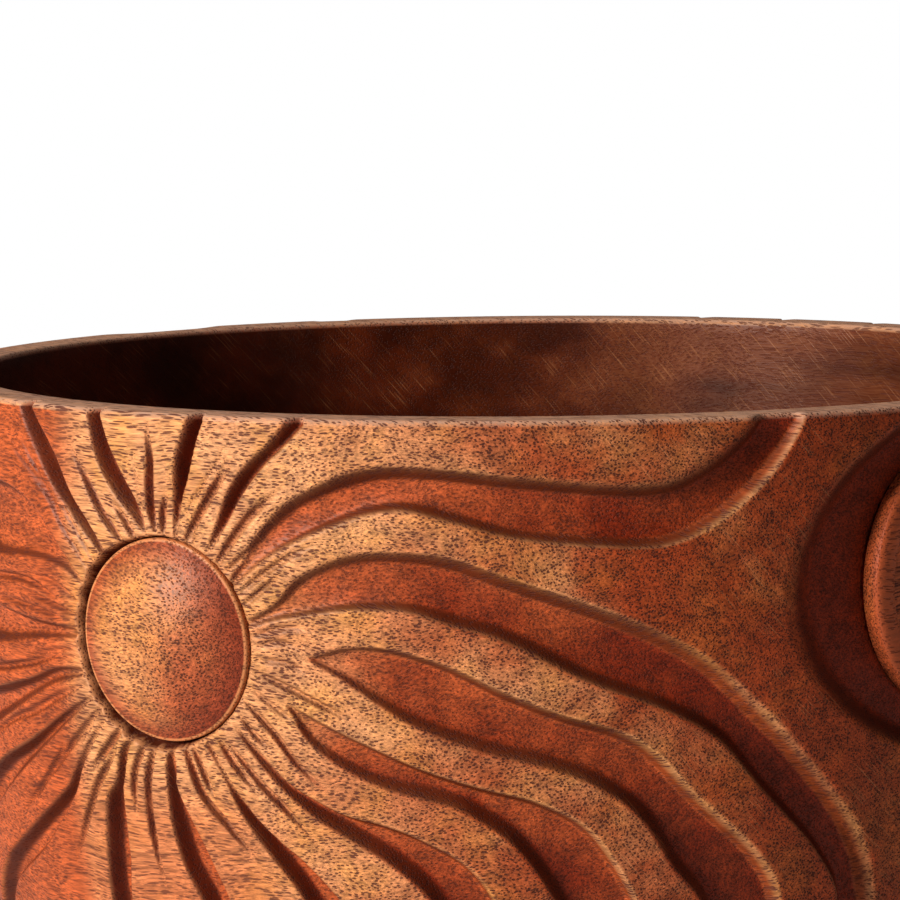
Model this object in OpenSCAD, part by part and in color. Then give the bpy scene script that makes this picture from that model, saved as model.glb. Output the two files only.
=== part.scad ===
// Carved wooden bowl: one hollowed block with two carved suns and two round medallions,
// whose turned discs are pegged into round seats in the wall.
// Z is up, the table is at z = 0 and the bowl's axis is the Z axis.
// A place on the carved wall is given as [along, up]: millimetres to the right round the rim
// and up the wall from the middle of a sun, as seen from outside.

/* [Bowl] */
// Diameter outside at the rim
rim_d = 250; // [220:5:310]
// Height from the table to the top of the rim
bowl_h = 140; // [128:1:175]
// Thickness of the wall
wall_t = 10; // [9:0.5:12]
// Thickness of the floor in the middle
floor_t = 13; // [10:0.5:16]
// Rounding of the rim's two edges
rim_round = 1.2; // [0.6:0.1:2]

/* [Curve of the wall] */
// Depth of the upright band below the rim
band_h = 25; // [15:1:35]
// Radius of the long sweep below the band
sweep_r = 400; // [350:10:600]
// Radius of the corner under the sweep
corner_r = 50; // [40:1:55]
// Radius of the corner inside the bowl
inner_corner_r = 46; // [36:1:55]

/* [Foot] */
// Diameter of the foot ring
foot_d = 128; // [110:1:136]
// Height of the foot ring
foot_h = 3; // [2:0.5:5]
// Width of the foot ring
foot_ring_w = 18; // [15:0.5:22]
// Depth of the hollow inside the foot ring
foot_hollow = 3.5; // [2:0.5:5]
// Diameter of a felt pad
pad_d = 13; // [9:0.5:14.5]
// Thickness of a felt pad
pad_t = 2; // [1:0.5:3]

/* [Sun disc] */
// Bearing of the first sun, in degrees right of the front
sun_bearing = -33; // [-40:1:-25]
// Depth of the sun's middle below the rim, along the wall
sun_below_rim = 43; // [38:1:48]
// Distance of the disc from the middle of its rays, to the right round the rim
sun_along = -1.3; // [-2:0.1:2]
// Diameter of the sun disc
sun_d = 38.6; // [34:0.2:42]
// Height of the disc's dome over its edge
sun_dome_h = 5.6; // [4:0.2:7]
// Thickness of the disc at its edge
sun_edge_t = 3; // [2:0.5:3.5]
// Depth of the disc's edge below the wall
sun_sunk = 1.5; // [1:0.1:2]

/* [Medallion] */
// Distance from the sun's middle to the medallion's middle, along the rim
medallion_right = 166; // [150:1:175]
// Height of the medallion's middle over the sun's middle
medallion_up = 10; // [4:1:12]
// Diameter of the medallion disc
medallion_d = 53; // [48:1:58]
// Width of its raised ring
ring_w = 5; // [4:0.5:7]
// Height of the raised ring over the dish
ring_h = 3; // [2:0.5:3.5]
// Thickness of the disc at its edge
medallion_edge_t = 4; // [3.5:0.5:4.5]
// Depth of the ring's crest below the wall
medallion_sunk = 1.6; // [1:0.1:2]
// Diameter of the button in the middle of the dish
button_d = 18; // [12:1:24]
// Width of the moat round the disc
moat_w = 13; // [9:0.5:14]
// Depth of the moat
moat_depth = 4; // [3:0.5:5]

/* [Fits] */
// Gap all round a disc in its seat
seat_gap = 0.15; // [0.1:0.05:0.3]
// Diameter of the peg on the back of a disc
peg_d = 12; // [8:0.5:16]
// Length of the peg
peg_l = 2; // [1.5:0.25:2.25]
// Gap all round a peg in its hole
peg_gap = 0.1; // [0.05:0.05:0.2]
// Gap past the end of a peg
peg_end_gap = 0.3; // [0.2:0.1:0.5]

/* [Hidden] */

outer_fn = 64;
inner_fn = 48;
round_fn = 96;
seat_fn = 48;
peg_fn = 24;
rim_r = rim_d / 2;
foot_r = foot_d / 2;
sun_r = sun_d / 2;
medallion_r = medallion_d / 2;
belly_z = pad_t + foot_h;
band_z = bowl_h - band_h;
// the sweep turns to sweep_end, where the corner takes over
sweep_end = asin((band_z - belly_z - corner_r) / (sweep_r - corner_r));
sweep_len = sweep_r * sweep_end * PI / 180;
corner_z = belly_z + corner_r;
corner_x = rim_r - sweep_r + (sweep_r - corner_r) * cos(sweep_end);
floor_z = belly_z + floor_t;
inner_r = rim_r - wall_t;
inner_sweep_r = sweep_r - wall_t;
inner_sweep_end = asin((band_z - floor_z - inner_corner_r) / (inner_sweep_r - inner_corner_r));
inner_corner_x = inner_r - inner_sweep_r + (inner_sweep_r - inner_corner_r) * cos(inner_sweep_end);
inner_corner_z = floor_z + inner_corner_r;
medallion_bearing = sun_bearing + medallion_right / rim_r * 180 / PI;
pad_circle_r = foot_r - foot_ring_w / 2;

// Cuts that run off a surface reach this far past it
past = 4;

// The long valleys: [points of the crisp upper edge, width, depth].
// Each lies to the right of its edge, going out from the sun.
valleys = [
    [[[13, 13], [20, 21], [29, 29], [45, 34], [71, 33], [94, 32], [111, 39], [122, 52]], 10, 4],
    [[[18, 4], [34, 16], [50, 19], [67, 16], [87, 8], [108, -4], [129, -23], [140, -37],
      [144, -54], [142, -74]], 11, 4.5],
    [[[27, -2], [46, 1], [68, -7], [89, -14], [103, -26], [118, -40], [124, -56], [123, -76]], 11, 4],
    [[[22, -9], [43, -17], [68, -26], [84, -35], [92, -48], [97, -62], [98, -78]], 9, 4],
];

// The gouges: [points of the middle line, width, depth]
gouges = [
    [[[14, -15], [24, -25], [36, -33], [46, -37], [55, -48], [63, -62], [68, -80]], 4.5, 3],
    [[[8, -19], [15, -31], [27, -42], [34, -56], [41, -78]], 5, 3],
    [[[-1, -21], [-1, -31], [4, -44], [10, -57], [15, -80]], 5, 3],
    [[[-9, -19], [-17, -33], [-19, -46], [-19, -60], [-15, -82]], 5.5, 3],
    [[[-16, -17], [-25, -25], [-36, -37], [-54, -51], [-64, -68]], 6, 3],
    [[[-19, -11], [-29, -17], [-40, -23], [-57, -31], [-76, -42], [-90, -62]], 8, 4],
    [[[-22, -5], [-37, -9], [-54, -14], [-74, -19], [-98, -34]], 5, 3],
    [[[-22, 2], [-37, 1], [-54, 2], [-72, 5], [-92, 0]], 5, 3],
    [[[-20, 8], [-28, 15], [-39, 22], [-54, 25], [-70, 30], [-84, 44]], 7, 3.5],
    [[[-15, 14], [-24, 25], [-29, 35], [-41, 48]], 4.5, 3],
    [[[-4, 20], [-8, 26], [-16, 33], [-20, 48]], 4, 2.5],
    [[[-2, 21], [-3, 34], [-3, 48]], 2.5, 2],
    [[[3, 20], [4, 28], [8, 48]], 4.5, 2.5],
    [[[10, 18], [13, 25], [19, 35], [31, 47]], 4, 2.5],
    [[[5, 20], [8, 25], [17, 36]], 2, 1.5],
    [[[12, 16], [17, 23], [28, 31]], 2, 1.5],
];

// Where a point of the wall lies: depth is measured down the wall from the rim
function wall_angle(depth) =
    depth < band_h ? 0
    : depth < band_h + sweep_len ? (depth - band_h) / sweep_r * 180 / PI
    : sweep_end + (depth - band_h - sweep_len) / corner_r * 180 / PI;
function wall_radius(depth) =
    let (a = wall_angle(depth))
    a <= 0 ? rim_r
    : a < sweep_end ? rim_r - sweep_r * (1 - cos(a))
    : corner_x + corner_r * cos(a);
function wall_height(depth) =
    let (a = wall_angle(depth))
    a <= 0 ? bowl_h - depth
    : a < sweep_end ? band_z - sweep_r * sin(a)
    : corner_z - corner_r * sin(a);

// The frame at a place of the wall: x to the right, y up the wall, z outward
function wall_frame(bearing, depth) =
    let (a = wall_angle(depth), r = wall_radius(depth), s = sin(bearing), c = -cos(bearing))
    [[-c, s * sin(a), s * cos(a), s * r],
     [s, c * sin(a), c * cos(a), c * r],
     [0, cos(a), -sin(a), wall_height(depth)],
     [0, 0, 0, 1]];
function bearing_at(bearing, place) = bearing + place.x / rim_r * 180 / PI;

// A smooth line through points, with steps pieces between two of them
function smooth_at(p0, p1, p2, p3, u) =
    0.5 * (2 * p1 + (p2 - p0) * u + (2 * p0 - 5 * p1 + 4 * p2 - p3) * u * u
           + (3 * p1 - p0 - 3 * p2 + p3) * u * u * u);
function smooth_line(p, steps) =
    let (last = len(p) - 1)
    [for (i = [0:last - 1]) for (k = [0:steps - 1])
        smooth_at(p[max(i - 1, 0)], p[i], p[i + 1], p[min(i + 2, last)], k / steps),
     p[last]];

module at_wall(bearing, place) {
    multmatrix(wall_frame(bearing_at(bearing, place), sun_below_rim - place.y)) children();
}

// The section of a valley: a steep crisp side at 0 and a long concave side out to its width
function valley_section(w, d) =
    [[0, past], [0.06 * w, -0.75 * d], [0.22 * w, -d], [0.5 * w, -0.78 * d], [w, 0], [w, past]];

// The section of a gouge, equal on both sides
function gouge_section(w, d) = [[-w / 2, past], [-w / 2, 0], [0, -d], [w / 2, 0], [w / 2, past]];

// How wide and deep a groove is at u from its start to its end, as a share of the full size
function valley_size(u) = min(1, 0.25 + 2.2 * u) * min(1, 0.55 + 1.8 * (1 - u));
function gouge_size(u) = min(1, 0.3 + 1.6 * u) * min(1, 0.2 + 2.4 * (1 - u));

// A cutter that carries a section along a line on the wall, square to its heading
module groove(bearing, line, sections) {
    last = len(line) - 1;
    n = len(sections[0]);
    points = [for (k = [0:last])
        let (way = line[min(k + 1, last)] - line[max(k - 1, 0)],
             heading = way / norm(way),
             frame = wall_frame(bearing_at(bearing, line[k]), sun_below_rim - line[k].y))
        for (q = sections[k]) frame * [q.x * heading.y, -q.x * heading.x, q.y, 1]];
    sides = [for (k = [0:last - 1]) for (j = [0:n - 1])
        let (a = k * n + j, b = k * n + (j + 1) % n)
        each [[a, b, b + n], [a, b + n, a + n]]];
    polyhedron([for (p = points) [p.x, p.y, p.z]],
               concat([[for (j = [n - 1:-1:0]) j]], [[for (j = [0:n - 1]) last * n + j]], sides));
}

module valley(bearing, points, w, d) {
    line = smooth_line(points, 2);
    last = len(line) - 1;
    groove(bearing, line,
           [for (k = [0:last]) let (f = valley_size(k / last)) valley_section(w * f, d * f)]);
}

module gouge(bearing, points, w, d) {
    line = smooth_line(points, len(points) > 4 ? 1 : 2);
    last = len(line) - 1;
    groove(bearing, line,
           [for (k = [0:last]) let (f = gouge_size(k / last)) gouge_section(w * f, d * f)]);
}

// The moat follows the wall round a medallion, in short straight pieces.
// It is steep against the disc and slopes up outside.
module moat(bearing) {
    pieces = 20;
    slice = 1.5;
    inside_r = medallion_r + seat_gap;
    for (i = [0:pieces - 1])
        hull()
            for (a = [i, i + 1] * 360 / pieces)
                at_wall(bearing, [medallion_right + inside_r * sin(a), medallion_up + inside_r * cos(a)])
                    rotate([0, 0, -a])
                        rotate([90, 0, 90])
                            linear_extrude(slice, center = true)
                                polygon([[0, past], [0, -moat_depth], [moat_w / 2, -moat_depth],
                                         [moat_w, 0], [moat_w, past]]);
}

module at_sun(bearing) {
    at_wall(bearing, [sun_along, 0]) children();
}

module at_medallion(bearing) {
    at_wall(bearing, [medallion_right, medallion_up]) children();
}

// A round seat with its blind peg hole, cut from the front down to the back of a disc
module seat(r, back_z) {
    translate([0, 0, back_z]) cylinder(h = past - back_z, r = r + seat_gap, $fn = seat_fn);
    translate([0, 0, back_z - peg_l - peg_end_gap])
        cylinder(h = peg_l + peg_end_gap + 0.1, d = peg_d + 2 * peg_gap, $fn = peg_fn);
}

sun_back_z = -sun_sunk - sun_edge_t;
medallion_back_z = -medallion_sunk - medallion_edge_t;

// Outline of the outside, from the axis out along the bottom and up to the rim
outer_outline = concat(
    [[0, belly_z + foot_hollow], [foot_r - foot_ring_w, belly_z + foot_hollow],
     [foot_r - foot_ring_w, pad_t], [foot_r, pad_t], [foot_r, belly_z]],
    [for (a = [90:-14:20]) [corner_x + corner_r * cos(a), corner_z - corner_r * sin(a)]],
    [for (i = [3:-1:0]) let (a = sweep_end * i / 3)
        [rim_r - sweep_r * (1 - cos(a)), band_z - sweep_r * sin(a)]],
    [for (a = [0:45:90])
        [rim_r - rim_round + rim_round * cos(a), bowl_h - rim_round + rim_round * sin(a)]],
    [[0, bowl_h]]);

// Outline of the hollow, from the floor up past the rim
inner_outline = concat(
    [[0, floor_z]],
    [for (a = [90:-14:20])
        [inner_corner_x + inner_corner_r * cos(a), inner_corner_z - inner_corner_r * sin(a)]],
    [for (i = [3:-1:0]) let (a = inner_sweep_end * i / 3)
        [inner_r - inner_sweep_r * (1 - cos(a)), band_z - inner_sweep_r * sin(a)]],
    [for (a = [0:45:90]) [inner_r + rim_round * (1 - cos(a)), bowl_h - rim_round * (1 - sin(a))]],
    [[inner_r + rim_round, bowl_h + past], [0, bowl_h + past]]);

module bowl_body() {
    color("sienna")
        difference() {
            rotate_extrude($fn = outer_fn) polygon(outer_outline);
            rotate_extrude($fn = inner_fn) polygon(inner_outline);
            for (bearing = [sun_bearing, sun_bearing + 180]) {
                for (v = valleys) valley(bearing, v[0], v[1], v[2]);
                for (g = gouges) gouge(bearing, g[0], g[1], g[2]);
                moat(bearing);
                at_sun(bearing) seat(sun_r, sun_back_z);
                at_medallion(bearing) seat(medallion_r, medallion_back_z);
            }
        }
}

// The peg on the back of a disc
module peg(back_z) {
    translate([0, 0, back_z - peg_l]) cylinder(h = peg_l + 0.5, d = peg_d, $fn = 48);
}

module sun_disc(bearing) {
    dome_r = (sun_r * sun_r + sun_dome_h * sun_dome_h) / (2 * sun_dome_h);
    color("peru")
        at_sun(bearing) {
            translate([0, 0, sun_back_z]) cylinder(h = sun_edge_t, r = sun_r, $fn = round_fn);
            intersection() {
                translate([0, 0, sun_dome_h - sun_sunk - dome_r]) sphere(r = dome_r, $fn = round_fn);
                translate([0, 0, -sun_sunk - 0.5]) cylinder(h = sun_dome_h + 1, r = sun_r, $fn = round_fn);
            }
            peg(sun_back_z);
        }
}

// Half section of a medallion: ring with a round crest, dish and button
medallion_outline =
    let (crest_r = ring_w / 2, crest_x = medallion_r - ring_w / 2, dish_z = -medallion_sunk - ring_h,
         button_r = button_d / 2, rise = ring_h * 0.7)
    concat(
        [[0, medallion_back_z], [medallion_r, medallion_back_z]],
        [for (a = [0:15:180]) [crest_x + crest_r * cos(a), -medallion_sunk - 1 + sin(a)]],
        [[crest_x - crest_r - 0.6, dish_z + 0.4], [crest_x - crest_r - 2, dish_z], [button_r, dish_z]],
        [for (a = [15:15:90]) [button_r * cos(a), dish_z + rise * sin(a)]]);

module medallion(bearing) {
    color("chocolate")
        at_medallion(bearing) {
            rotate_extrude($fn = round_fn) polygon(medallion_outline);
            peg(medallion_back_z);
        }
}

module felt_pad(bearing) {
    color("dimgray")
        translate([pad_circle_r * sin(bearing), -pad_circle_r * cos(bearing), 0])
            cylinder(h = pad_t, d = pad_d, $fn = 48);
}

bowl_body();
sun_disc(sun_bearing);  // sun_disc_front
sun_disc(sun_bearing + 180);  // sun_disc_back
medallion(sun_bearing);  // medallion_right
medallion(sun_bearing + 180);  // medallion_left
felt_pad(0);  // felt_pad_front
felt_pad(90);  // felt_pad_right
felt_pad(180);  // felt_pad_back
felt_pad(270);  // felt_pad_left
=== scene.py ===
"""The looks of a carved wooden bowl: its carved block, four turned discs and four felt pads.

Everything is in metres, in the CAD frame. The shapes are worked out in millimetres.
"""

import math

import bpy
import numpy as np
from mathutils import Matrix, Vector


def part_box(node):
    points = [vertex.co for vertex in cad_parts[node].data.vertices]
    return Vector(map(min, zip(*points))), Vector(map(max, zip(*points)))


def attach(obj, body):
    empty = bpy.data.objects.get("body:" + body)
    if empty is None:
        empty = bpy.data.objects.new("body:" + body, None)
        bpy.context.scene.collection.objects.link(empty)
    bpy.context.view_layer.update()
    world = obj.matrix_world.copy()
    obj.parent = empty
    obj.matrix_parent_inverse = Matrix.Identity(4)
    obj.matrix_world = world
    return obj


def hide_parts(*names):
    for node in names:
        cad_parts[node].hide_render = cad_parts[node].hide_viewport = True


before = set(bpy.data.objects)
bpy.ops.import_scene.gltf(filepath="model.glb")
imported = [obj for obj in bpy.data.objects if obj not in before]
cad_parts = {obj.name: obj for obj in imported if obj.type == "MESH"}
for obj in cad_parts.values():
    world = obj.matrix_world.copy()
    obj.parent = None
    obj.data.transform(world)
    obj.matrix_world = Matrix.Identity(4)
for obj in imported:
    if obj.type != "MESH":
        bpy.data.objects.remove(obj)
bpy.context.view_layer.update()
MM = 0.001

# ---------------------------------------------------------------- the bowl's sizes, in millimetres
BODY_LOW, BODY_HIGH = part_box("bowl_body")
RIM_R = (BODY_HIGH[0] - BODY_LOW[0]) / 2 / MM
BOWL_H = BODY_HIGH[2] / MM
PAD_T = BODY_LOW[2] / MM
WALL_T = 10.0
FLOOR_T = 13.0
RIM_ROUND = 1.2
BAND_H = 25.0
SWEEP_R = 400.0
CORNER_R = 50.0
INNER_CORNER_R = 46.0
FOOT_R = 64.0
FOOT_H = 3.0
FOOT_RING_W = 18.0
FOOT_HOLLOW = 3.5

SUN_BEARING = -33.0
SUN_BELOW_RIM = 43.0
SUN_ALONG = -1.3
SUN_R = 19.3
SUN_DOME_H = 5.6
SUN_EDGE_T = 3.0
SUN_SUNK = 1.5
SEAT_GAP = 0.15

MEDALLION_AT = np.array([166.0, 10.0])
MEDALLION_R = 26.5
MEDALLION_EDGE_T = 4.0
MEDALLION_SUNK = 1.6
RING_W = 5.0
RING_H = 3.0
BUTTON_R = 9.0
MOAT_W = 13.0
MOAT_DEPTH = 4.0

PEG_R = 6.0
PEG_L = 1.8

BELLY_Z = PAD_T + FOOT_H
BAND_Z = BOWL_H - BAND_H
SWEEP_END = math.asin((BAND_Z - BELLY_Z - CORNER_R) / (SWEEP_R - CORNER_R))
SWEEP_LEN = SWEEP_R * SWEEP_END
CORNER_Z = BELLY_Z + CORNER_R
CORNER_X = RIM_R - SWEEP_R + (SWEEP_R - CORNER_R) * math.cos(SWEEP_END)
WALL_LEN = BAND_H + SWEEP_LEN + CORNER_R * (math.pi / 2 - SWEEP_END)
HALF_ROUND = math.pi * RIM_R
FLOOR_Z = BELLY_Z + FLOOR_T
INNER_R = RIM_R - WALL_T
INNER_SWEEP_R = SWEEP_R - WALL_T
INNER_SWEEP_END = math.asin((BAND_Z - FLOOR_Z - INNER_CORNER_R) / (INNER_SWEEP_R - INNER_CORNER_R))
INNER_CORNER_X = INNER_R - INNER_SWEEP_R + (INNER_SWEEP_R - INNER_CORNER_R) * math.cos(INNER_SWEEP_END)
INNER_CORNER_Z = FLOOR_Z + INNER_CORNER_R
FOOT_INNER_R = FOOT_R - FOOT_RING_W
HOLLOW_Z = BELLY_Z + FOOT_HOLLOW

# where the wall's grid is fine, in millimetres from a sun, and how wide a channel can be
FINE_FROM, FINE_TO = -60.0, 150.0
CARVED_DOWN_TO = -82.0
WIDEST_CHANNEL = 30.0

# ---------------------------------------------------------------- the carving
# Places are [along, up] in millimetres from the middle of a sun: along to the right round the rim,
# up the wall. Channels go out from the sun: points of the left edge, points of the right edge, depth,
# and how wide the walls under the two edges are.
CHANNELS = [
    # to the right, from the rim down
    ([(14, 12), (20, 21), (29, 29), (45, 34.5), (71, 33), (94, 32), (104, 35), (113, 42), (122, 54)],
     [(15, 11), (24, 18), (37, 24), (48, 26.5), (58, 24.5), (70, 21.5), (85, 20), (98, 20), (109, 25),
      (120, 35), (130, 52)], 3.2, 2.6, 1.5),
    ([(18, 5), (24, 9), (29, 14), (38, 18), (48, 19), (58, 18), (67, 15), (87, 8), (104, 0), (116, -10),
      (129, -23), (140, -37), (145, -52), (143, -72)],
     [(18, 4), (26, 6), (38, 8), (49, 8), (58, 5.5), (68, 2.5), (83, -5), (98, -11), (108, -17), (116, -26),
      (130, -41), (135, -52), (132, -72)], 3.4, 3.0, 1.9),
    ([(31, -1), (38, 1), (46, 1), (57, -2), (68, -7), (78, -11), (89, -14.5), (96, -19), (104, -27),
      (118, -40), (123, -52), (121, -76)],
     [(31, -2), (37, -5), (44, -9.5), (51, -13.5), (63, -18), (75, -21), (85, -25), (93, -31), (99, -40),
      (107, -52), (108, -76)], 3.0, 2.0, 2.3),
    ([(26, -10), (34, -14), (43, -18), (53, -22), (63, -25), (73, -27.5), (82, -32), (88, -39), (93, -48),
      (96, -60), (96, -78)],
     [(26, -11), (30, -17), (37, -22), (45, -25.5), (57, -28.5), (63, -31.5), (69, -36), (75, -44),
      (81, -56), (84, -76)], 3.0, 1.3, 2.3),
    ([(15, -15), (19, -19), (25, -25), (31, -28.5), (37, -31), (44, -32.5), (51, -35), (60, -40), (66, -48),
      (71, -60), (72, -78)],
     [(15, -16), (18, -20), (24, -26.5), (31, -32), (38, -36), (45, -40), (52, -46), (58, -56), (61, -66),
      (62, -80)], 3.0, 1.2, 2.4),
    ([(9, -19), (13, -26), (18, -32.5), (23, -37), (28, -41), (36, -50), (42, -64), (44, -82)],
     [(8, -19), (12, -26), (15, -32), (20, -39), (26, -46.5), (31, -56), (35, -68), (38, -84)],
     3.2, 1.2, 2.0),
    # below the sun
    ([(0, -20), (0.5, -24), (0.5, -29), (6, -40), (10, -49), (15, -62), (18, -80)],
     [(-1, -20), (-2, -25), (-2, -34), (0, -43), (4, -51), (8, -64), (11, -82)], 3.4, 1.4, 2.0),
    ([(-9, -19), (-11.5, -22), (-13, -27), (-14, -31), (-14, -43), (-15, -52), (-14, -66), (-11, -80)],
     [(-10, -19), (-13.5, -22), (-15.5, -28), (-18.5, -32), (-20, -40), (-21, -53), (-20, -68), (-16, -82)],
     3.4, 1.4, 2.0),
    ([(-17, -17), (-21, -21.5), (-25, -27), (-29, -33.5), (-42, -45.5), (-60, -57), (-73, -72)],
     [(-18, -17), (-22.5, -21.5), (-27, -27), (-31.5, -32), (-45, -41), (-62, -51.5), (-79, -68)],
     3.0, 1.4, 2.0),
    # to the left, from below up
    ([(-20, -13), (-30, -19.5), (-42, -27.5), (-50, -32.5), (-60, -39), (-70, -48), (-77, -60), (-80, -76)],
     [(-20, -12), (-28, -16), (-41, -23), (-57, -30), (-72, -39), (-84, -52), (-90, -76)], 3.2, 2.4, 1.6),
    ([(-23, -9), (-31, -11), (-40, -15), (-52, -20.5), (-66, -26), (-80, -35), (-92, -48), (-100, -62),
      (-102, -76)],
     [(-23, -7), (-31, -8), (-40, -11), (-52, -14), (-68, -18), (-86, -26), (-102, -38), (-114, -54),
      (-117, -76)],
     3.0, 2.4, 1.8),
    ([(-24, -1.5), (-37, -3), (-50, -5), (-66, -6), (-84, -10), (-102, -18), (-120, -31), (-134, -46),
      (-142, -60), (-144, -76)],
     [(-24, 0.5), (-37, 1), (-50, 2.5), (-66, 5), (-86, 3), (-108, -5), (-130, -18), (-148, -36),
      (-157, -54), (-158, -76)], 3.0, 2.4, 1.8),
    ([(-21, 9), (-28, 12), (-38, 13), (-50, 12.5), (-64, 14), (-82, 14), (-104, 9), (-126, 7), (-146, 14),
      (-160, 30), (-168, 54)],
     [(-21, 10), (-27, 15), (-32, 20), (-40, 25), (-50, 27), (-70, 27), (-92, 22), (-114, 19), (-134, 26),
      (-147, 40), (-153, 54)], 3.0, 2.2, 2.2),
    # above the sun
    ([(-15, 14.5), (-20, 19), (-27, 25), (-33, 31.5), (-39, 39), (-43, 48)],
     [(-14.5, 15.5), (-19, 21), (-24.5, 27), (-29, 34), (-35, 41), (-40, 48)], 3.0, 1.6, 1.4),
    ([(-4.5, 20), (-8, 23.5), (-13.5, 29), (-18, 36), (-21, 48)],
     [(-4, 20), (-6.5, 26), (-10, 31), (-14, 38), (-17.5, 48)], 3.0, 1.8, 1.0),
    ([(2.6, 20), (2.8, 27), (2.8, 34), (4, 39), (8, 48)],
     [(3.2, 20), (4.4, 27), (6, 32), (8, 39), (12, 48)], 3.6, 1.6, 1.2),
    ([(9.5, 17), (12, 23), (14.5, 29), (18, 34), (24, 40), (31, 48)],
     [(10, 17), (13.5, 22), (17.5, 28.5), (22, 34), (27.5, 39), (36, 48)], 3.2, 1.8, 1.2),
]

# Knife cuts: points of the middle line, width, depth.
KNIFE_CUTS = [
    # above
    ([(5, 19), (8, 24), (12, 30), (17, 36)], 1.7, 1.5),
    ([(12, 15.5), (16, 21), (20, 25.5), (27, 31)], 1.9, 1.4),
    ([(-10, 18), (-15, 23), (-20, 30), (-24, 36)], 1.9, 1.5),
    ([(-7, 19), (-10, 23), (-13, 26)], 1.6, 1.2),
    ([(-2, 21), (-3, 26), (-3, 34), (-3.4, 42)], 1.9, 1.8),
    ([(-4.6, 21), (-6, 29), (-7, 38)], 0.9, 0.6),
    ([(0, 20.5), (0, 24), (1, 29)], 1.5, 1.4),
    ([(5, 24), (10, 31), (18, 42)], 0.9, 0.6),
    ([(12, 31), (16, 37)], 0.9, 0.6),
    ([(6, 19), (7.5, 21)], 1.4, 1.0),
    ([(14, 14), (19, 18.5), (24, 22)], 1.3, 1.0),
    # below
    ([(-4.5, -20), (-7, -28), (-7, -38), (-5, -50)], 1.8, 1.5),
    ([(-7, -20), (-10.5, -27), (-11, -36)], 1.7, 1.4),
    ([(3, -20), (6, -28.5), (12, -35), (18.5, -42)], 1.9, 1.5),
    ([(5, -20), (7, -25), (9.5, -30)], 1.6, 1.2),
    ([(11, -18), (14.5, -23), (20, -29)], 1.6, 1.1),
    ([(13, -18.5), (18, -24.5), (24, -30), (31, -37)], 1.7, 1.2),
    ([(17, -10), (23, -16), (28, -22), (35, -27)], 1.5, 1.1),
    ([(16, -13), (20, -17.5), (24, -20)], 1.2, 0.9),
    ([(-13, -18), (-18, -23), (-23, -28)], 2.0, 1.5),
    ([(-15, -22), (-21, -30), (-27, -40), (-31, -47)], 1.8, 1.4),
    ([(-18, -14.5), (-27, -22), (-36, -29.5), (-45, -35)], 1.5, 1.2),
    ([(-20, -17), (-27, -24)], 1.0, 0.7),
    # left
    ([(-22, -10), (-30, -13.5), (-40, -18), (-54, -22.5)], 1.2, 0.9),
    ([(-23, -3), (-33, -5), (-44, -7.5)], 1.2, 0.8),
    ([(-23, 3), (-33, 5), (-44, 7)], 1.2, 0.9),
    ([(-22, 5.5), (-31, 9), (-42, 10)], 1.1, 0.8),
    ([(-19, 12), (-26, 19), (-32, 26), (-42, 32)], 1.2, 0.8),
    ([(-17.5, 13.5), (-24, 21), (-30, 28)], 1.0, 0.7),
    ([(-24, -5), (-31, -6)], 1.0, 0.7),
    ([(-26, 14), (-36, 17.5), (-48, 19), (-62, 20)], 1.6, 0.9),
    ([(-30, 6), (-40, 8.5), (-54, 8.5), (-68, 10)], 1.8, 1.0),
    ([(-28, 1.8), (-38, 3.4), (-52, 4.4)], 1.2, 0.8),
    ([(-29, -5), (-40, -8), (-54, -10.5), (-70, -12)], 1.8, 1.1),
    ([(-27, -11.5), (-38, -16.5), (-50, -21), (-64, -28)], 1.4, 1.0),
    ([(-26, 21), (-33, 28), (-41, 38)], 1.6, 1.0),
    ([(-31, 26), (-38, 31), (-47, 37)], 1.3, 0.8),
    ([(-30, -23), (-38, -31), (-50, -40)], 1.4, 1.0),
    # right, close by the disc
    ([(19.5, 2.5), (26, 4.2), (33, 4)], 1.2, 0.8),
    ([(20, 0.5), (25, 1.5), (30, 0)], 1.1, 0.8),
    ([(20, -2), (26, -2.5), (32, -5)], 1.2, 0.9),
    ([(19.5, -4.5), (26, -7), (35, -11), (42, -14)], 1.5, 1.0),
    ([(18.5, -7.5), (25, -12), (30, -14)], 1.2, 0.8),
    ([(16.5, 10), (21, 13.5), (27, 17.5), (34, 21)], 1.3, 0.9),
    ([(17.5, 8), (22, 11.5), (26, 14.5)], 1.4, 1.0),
]


def smooth_line(points, spacing=0.5):
    """A smooth line through points, with samples about spacing apart."""
    p = np.array(points, float)
    p = np.vstack([2 * p[0] - p[1], p, 2 * p[-1] - p[-2]])
    out = []
    for i in range(1, len(p) - 2):
        n = max(2, int(np.hypot(*(p[i + 1] - p[i])) / spacing))
        u = (np.arange(n) / n)[:, None]
        out.append(0.5 * (2 * p[i] + (p[i + 1] - p[i - 1]) * u
                          + (2 * p[i - 1] - 5 * p[i] + 4 * p[i + 1] - p[i + 2]) * u ** 2
                          + (3 * p[i] - p[i - 1] - 3 * p[i + 1] + p[i + 2]) * u ** 3))
    out.append(p[-2][None, :])
    return np.vstack(out)


def smoothstep(low, high, v):
    u = np.clip((v - low) / (high - low), 0, 1)
    return u * u * (3 - 2 * u)


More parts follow.
